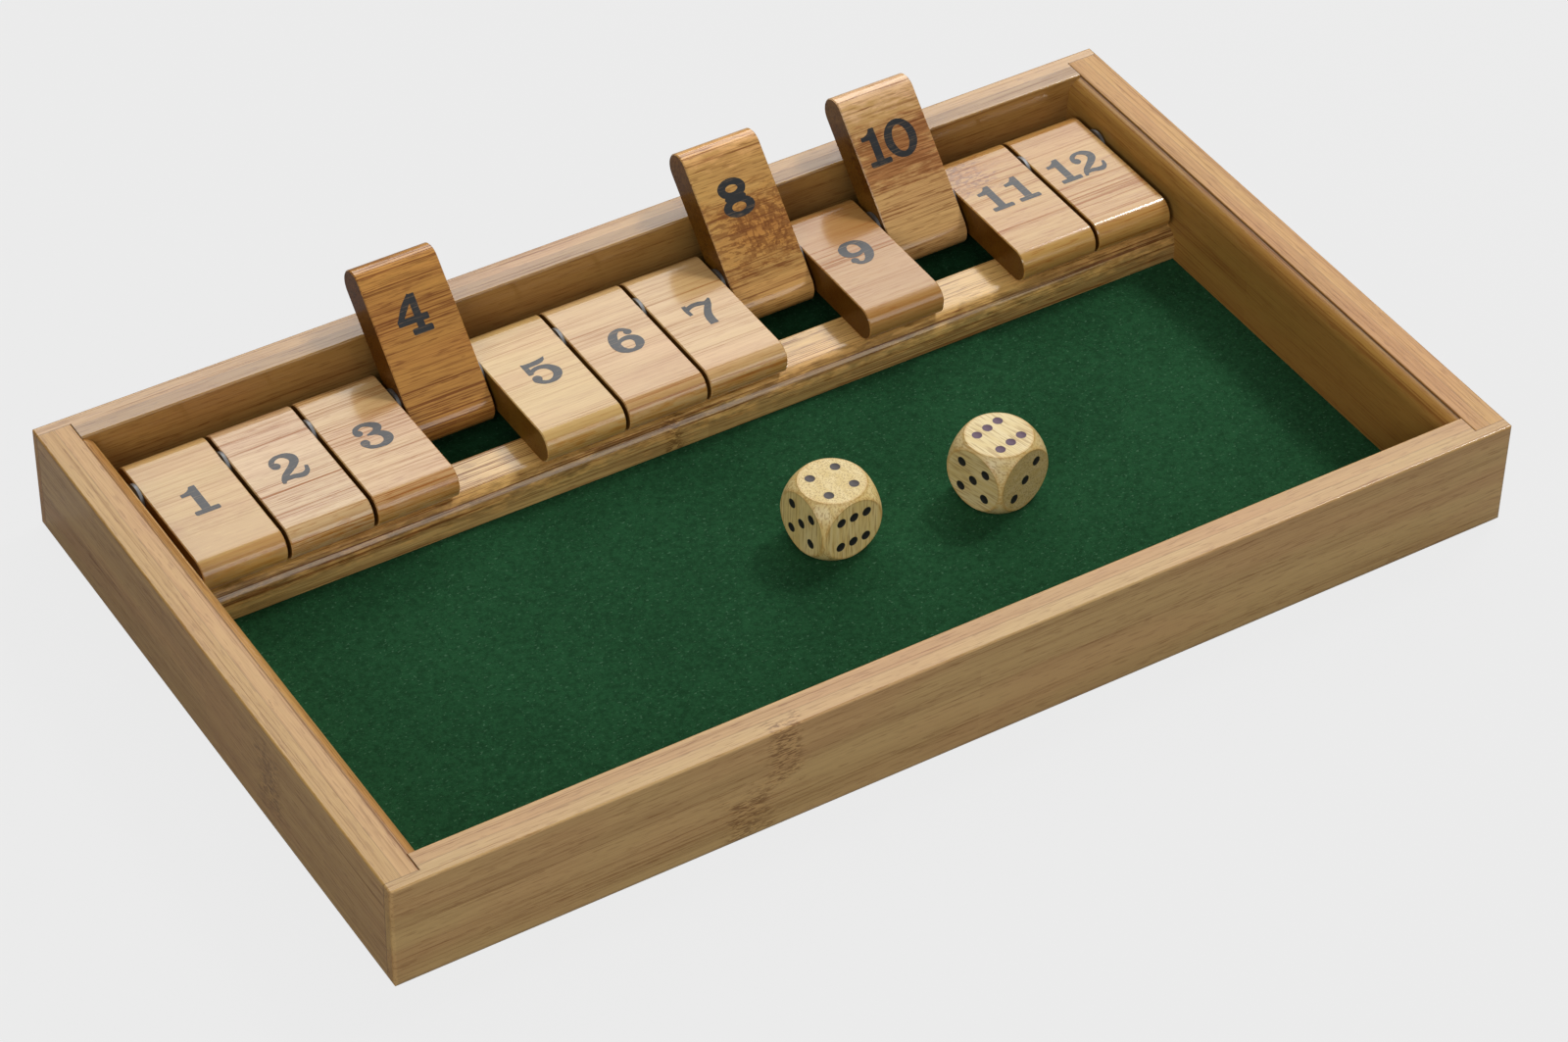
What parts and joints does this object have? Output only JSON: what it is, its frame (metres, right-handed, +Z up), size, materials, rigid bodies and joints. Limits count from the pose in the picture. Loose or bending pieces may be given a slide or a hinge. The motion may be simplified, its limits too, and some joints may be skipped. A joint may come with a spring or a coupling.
{
  "type": "shut the box game",
  "caption": "Shallow bamboo dice tray lined with green felt, with a row of hinged number tiles on a steel rod along the back wall, and wooden dice.",
  "frame": {"origin": "on the table, under the middle of the tray", "axes": "+X along the long side towards the highest number, +Y towards the back wall behind the tiles, +Z up"},
  "size_m": [0.34, 0.2006, 0.051],
  "materials": {
    "bamboo_walls": "satin varnished bamboo",
    "bamboo_liners": "satin varnished bamboo",
    "bamboo_rail": "satin varnished bamboo",
    "bamboo_tiles": "satin varnished bamboo",
    "base_board": "plain sanded board",
    "green_felt": "matt felt",
    "zinc_steel": "bright zinc-plated steel",
    "dice_wood": "light wood with a satin varnish"
  },
  "bodies": {
    "tray": {"front_wall": "bamboo_walls", "back_wall": "bamboo_walls", "left_wall": "bamboo_walls", "right_wall": "bamboo_walls", "left_liner": "bamboo_liners", "right_liner": "bamboo_liners", "base_panel": "base_board", "felt_baize": "green_felt", "tile_rail": "bamboo_rail", "hinge_rod": "zinc_steel", "spacer_washers": "zinc_steel"},
    "tile_1": {"tile_1": "bamboo_tiles"},
    "tile_2": {"tile_2": "bamboo_tiles"},
    "tile_3": {"tile_3": "bamboo_tiles"},
    "tile_4": {"tile_4": "bamboo_tiles"},
    "tile_5": {"tile_5": "bamboo_tiles"},
    "tile_6": {"tile_6": "bamboo_tiles"},
    "tile_7": {"tile_7": "bamboo_tiles"},
    "tile_8": {"tile_8": "bamboo_tiles"},
    "tile_9": {"tile_9": "bamboo_tiles"},
    "tile_10": {"tile_10": "bamboo_tiles"},
    "tile_11": {"tile_11": "bamboo_tiles"},
    "tile_12": {"tile_12": "bamboo_tiles"},
    "die_left": {"die_left": "dice_wood"},
    "die_right": {"die_right": "dice_wood"}
  },
  "joints": [
    {"name": "tile_1_hinge", "type": "hinge", "parent": "tray", "child": "tile_1", "pos_m": [0, 0.073, 0.02145], "axis": [-1, 0, 0], "range_deg": [0, 134.72]},
    {"name": "tile_2_hinge", "type": "hinge", "parent": "tray", "child": "tile_2", "pos_m": [0, 0.073, 0.02145], "axis": [-1, 0, 0], "range_deg": [0, 134.72]},
    {"name": "tile_3_hinge", "type": "hinge", "parent": "tray", "child": "tile_3", "pos_m": [0, 0.073, 0.02145], "axis": [-1, 0, 0], "range_deg": [0, 134.72]},
    {"name": "tile_4_hinge", "type": "hinge", "parent": "tray", "child": "tile_4", "pos_m": [0, 0.073, 0.02145], "axis": [-1, 0, 0], "range_deg": [-134.72, 0]},
    {"name": "tile_5_hinge", "type": "hinge", "parent": "tray", "child": "tile_5", "pos_m": [0, 0.073, 0.02145], "axis": [-1, 0, 0], "range_deg": [0, 134.72]},
    {"name": "tile_6_hinge", "type": "hinge", "parent": "tray", "child": "tile_6", "pos_m": [0, 0.073, 0.02145], "axis": [-1, 0, 0], "range_deg": [0, 134.72]},
    {"name": "tile_7_hinge", "type": "hinge", "parent": "tray", "child": "tile_7", "pos_m": [0, 0.073, 0.02145], "axis": [-1, 0, 0], "range_deg": [0, 134.72]},
    {"name": "tile_8_hinge", "type": "hinge", "parent": "tray", "child": "tile_8", "pos_m": [0, 0.073, 0.02145], "axis": [-1, 0, 0], "range_deg": [-134.72, 0]},
    {"name": "tile_9_hinge", "type": "hinge", "parent": "tray", "child": "tile_9", "pos_m": [0, 0.073, 0.02145], "axis": [-1, 0, 0], "range_deg": [0, 134.72]},
    {"name": "tile_10_hinge", "type": "hinge", "parent": "tray", "child": "tile_10", "pos_m": [0, 0.073, 0.02145], "axis": [-1, 0, 0], "range_deg": [-134.72, 0]},
    {"name": "tile_11_hinge", "type": "hinge", "parent": "tray", "child": "tile_11", "pos_m": [0, 0.073, 0.02145], "axis": [-1, 0, 0], "range_deg": [0, 134.72]},
    {"name": "tile_12_hinge", "type": "hinge", "parent": "tray", "child": "tile_12", "pos_m": [0, 0.073, 0.02145], "axis": [-1, 0, 0], "range_deg": [0, 134.72]},
    {"name": "die_left_lift", "type": "slide", "parent": "tray", "child": "die_left", "axis": [0, 0, 1], "range_m": [0, 0.06]},
    {"name": "die_right_lift", "type": "slide", "parent": "tray", "child": "die_right", "axis": [0, 0, 1], "range_m": [0, 0.06]}
  ]
}
